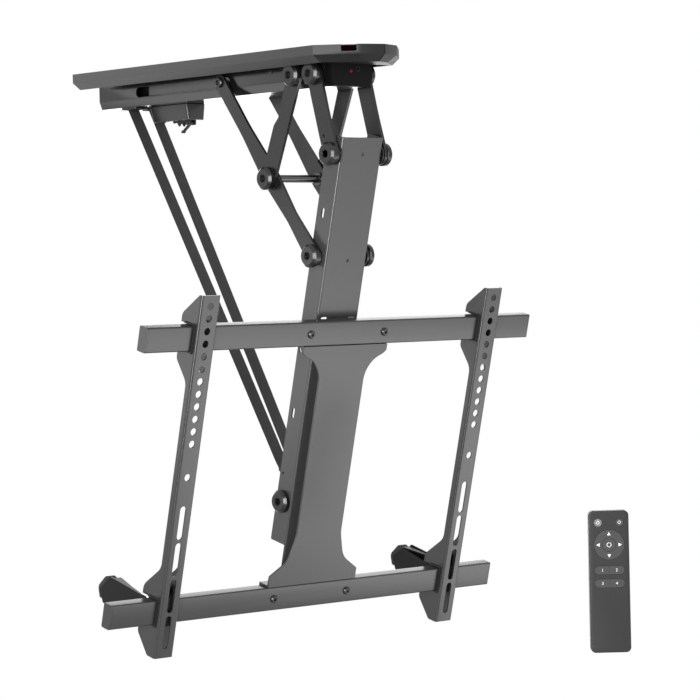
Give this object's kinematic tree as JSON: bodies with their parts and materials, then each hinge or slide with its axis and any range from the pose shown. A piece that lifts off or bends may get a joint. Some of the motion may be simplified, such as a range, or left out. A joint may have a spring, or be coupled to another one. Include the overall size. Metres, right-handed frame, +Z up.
{
  "type": "motorized television ceiling mount",
  "caption": "Motor-driven ceiling mount: a folding arm linkage under a long ceiling plate lifts a mast with rails and sliding screen brackets by straps, with a remote control.",
  "frame": {"origin": "centre of the four ceiling screws on the plate's top face, which lies on the ceiling", "axes": "+Z up, +X along the screen rails to the viewer's right, -Y towards the viewer's side of the screen"},
  "size_m": [0.61, 0.6864, 0.7335],
  "materials": {
    "coated_steel": "dark grey, fine textured powder coat",
    "coated_arm": "dark grey powder coat",
    "black_plastic": "black, finely grained",
    "black_bolt": "black oxide, satin",
    "gloss_rod": "gloss black",
    "plain_steel": "turned steel",
    "motor_case": "grey, satin",
    "webbing": "woven black strap",
    "soft_black": "matte black rubber",
    "red_window": "dark red, see-through",
    "red_light": "red lamp",
    "board_green": "green circuit board",
    "remote_black": "black, fine grain",
    "key_grey": "dark grey keys",
    "battery_case": "plain wrapped cell"
  },
  "bodies": {
    "ceiling_unit": {"ceiling_plate": "coated_steel", "front_cover_left": "black_plastic", "front_cover_right": "black_plastic", "receiver_window": "red_window", "drive_channel": "coated_steel", "channel_front_cap": "black_plastic", "power_light": "red_light", "control_socket": "black_plastic", "inner_guide_rail": "plain_steel", "control_board": "board_green", "drive_motor": "motor_case", "gearbox": "motor_case", "strap_guides": "black_plastic", "switch_box": "black_plastic", "limit_switch": "black_plastic", "channel_pivot_bolts": "black_bolt", "channel_pivot_spacers": "plain_steel", "remote_front_shell": "remote_black", "remote_back_shell": "remote_black", "battery_door": "remote_black", "remote_batteries": "battery_case", "remote_board": "board_green"},
    "switch_lever_body": {"switch_lever": "black_plastic"},
    "drum_body": {"strap_drum": "plain_steel"},
    "strap_body": {"lift_straps": "webbing"},
    "lift_arms": {"left_lift_arm": "coated_arm", "right_lift_arm": "coated_arm", "cross_rod": "gloss_rod", "crossing_bolts": "black_bolt"},
    "drive_arms": {"left_drive_arm": "coated_arm", "right_drive_arm": "coated_arm"},
    "carriage_body": {"carriage": "plain_steel", "carriage_screws": "black_bolt"},
    "guide_arms": {"left_guide_arm": "coated_arm", "right_guide_arm": "coated_arm", "guide_arm_bolts": "black_bolt"},
    "mast_body": {"mast_channel": "coated_steel", "adapter_plate": "coated_steel", "upper_rail": "coated_steel", "lower_rail": "coated_steel", "rail_end_plugs": "black_plastic", "rail_screws": "black_bolt", "mast_pads": "soft_black", "mast_pivot_bolts": "black_bolt", "strap_shaft": "plain_steel", "strap_shaft_heads": "black_bolt"},
    "left_bracket_body": {"left_bracket": "coated_steel", "left_rail_clips": "black_plastic", "left_rest_arm": "coated_steel", "left_rest_bumper": "soft_black"},
    "right_bracket_body": {"right_bracket": "coated_steel", "right_rail_clips": "black_plastic", "right_rest_arm": "coated_steel", "right_rest_bumper": "soft_black"},
    "power_button_body": {"power_button": "key_grey"},
    "source_button_body": {"source_button": "key_grey"},
    "direction_ring_body": {"direction_ring": "key_grey"},
    "ok_button_body": {"ok_button": "key_grey"},
    "number_key_body": {"number_key": "key_grey"},
    "memory_key_body": {"memory_key": "key_grey"}
  },
  "joints": [
    {"name": "lift_hinge", "type": "hinge", "parent": "ceiling_unit", "child": "lift_arms", "pos_m": [0, -0.177, -0.03], "axis": [1, 0, 0], "range_deg": [0, 57.25]},
    {"name": "crossing_hinge", "type": "hinge", "parent": "lift_arms", "child": "drive_arms", "pos_m": [0, -0.124, -0.152], "axis": [1, 0, 0], "range_deg": [-100.2, 0]},
    {"name": "mast_hinge", "type": "hinge", "parent": "drive_arms", "child": "mast_body", "pos_m": [0, -0.199, -0.248], "axis": [1, 0, 0], "range_deg": [0, 118]},
    {"name": "carriage_hinge", "type": "hinge", "parent": "drive_arms", "child": "carriage_body", "pos_m": [0, -0.0295, -0.0285], "axis": [1, 0, 0], "range_deg": [0, 43]},
    {"name": "guide_hinge", "type": "hinge", "parent": "ceiling_unit", "child": "guide_arms", "pos_m": [0, -0.2085, -0.03], "axis": [1, 0, 0], "range_deg": [-49.9, 0]},
    {"name": "strap_hinge", "type": "hinge", "parent": "ceiling_unit", "child": "strap_body", "pos_m": [0, 0.1995, -0.0177], "axis": [1, 0, 0], "range_deg": [-14.6, 0], "deforming": ["lift_straps"]},
    {"name": "drum_spin", "type": "hinge", "parent": "ceiling_unit", "child": "drum_body", "pos_m": [0, 0.2115, -0.025], "axis": [1, 0, 0], "range_deg": [-2195, 0]},
    {"name": "left_bracket_slide", "type": "slide", "parent": "mast_body", "child": "left_bracket_body", "axis": [1, 0, 0], "range_m": [-0.06, 0.124]},
    {"name": "right_bracket_slide", "type": "slide", "parent": "mast_body", "child": "right_bracket_body", "axis": [1, 0, 0], "range_m": [-0.1285, 0.056]},
    {"name": "switch_lever_hinge", "type": "hinge", "parent": "ceiling_unit", "child": "switch_lever_body", "pos_m": [0.011, 0.095, -0.07], "axis": [1, 0, 0], "range_deg": [0, 24], "stiffness_Nm_per_rad": 0.02, "springref_deg": -5.73},
    {"name": "power_press", "type": "slide", "parent": "ceiling_unit", "child": "power_button_body", "axis": [0.6561, 0.7547, 0], "range_m": [0, 0.0008], "stiffness_N_per_m": 400, "springref_m": -0.0005},
    {"name": "source_press", "type": "slide", "parent": "ceiling_unit", "child": "source_button_body", "axis": [0.6561, 0.7547, 0], "range_m": [0, 0.0008], "stiffness_N_per_m": 400, "springref_m": -0.0005},
    {"name": "direction_ring_press", "type": "slide", "parent": "ceiling_unit", "child": "direction_ring_body", "axis": [0.6561, 0.7547, 0], "range_m": [0, 0.0008], "stiffness_N_per_m": 400, "springref_m": -0.0005},
    {"name": "ok_press", "type": "slide", "parent": "ceiling_unit", "child": "ok_button_body", "axis": [0.6561, 0.7547, 0], "range_m": [0, 0.0008], "stiffness_N_per_m": 400, "springref_m": -0.0005},
    {"name": "number_press", "type": "slide", "parent": "ceiling_unit", "child": "number_key_body", "axis": [0.6561, 0.7547, 0], "range_m": [0, 0.0008], "stiffness_N_per_m": 400, "springref_m": -0.0005},
    {"name": "memory_press", "type": "slide", "parent": "ceiling_unit", "child": "memory_key_body", "axis": [0.6561, 0.7547, 0], "range_m": [0, 0.0008], "stiffness_N_per_m": 400, "springref_m": -0.0005}
  ],
  "couplings": [
    {"joint": "crossing_hinge", "follows": "lift_hinge", "ratio": -1.75},
    {"joint": "mast_hinge", "follows": "lift_hinge", "ratio": 2.06},
    {"joint": "carriage_hinge", "follows": "lift_hinge", "ratio": 0.75},
    {"joint": "guide_hinge", "follows": "lift_hinge", "ratio": -0.87},
    {"joint": "strap_hinge", "follows": "lift_hinge", "ratio": -0.2537},
    {"joint": "drum_spin", "follows": "lift_hinge", "ratio": -38.27}
  ]
}
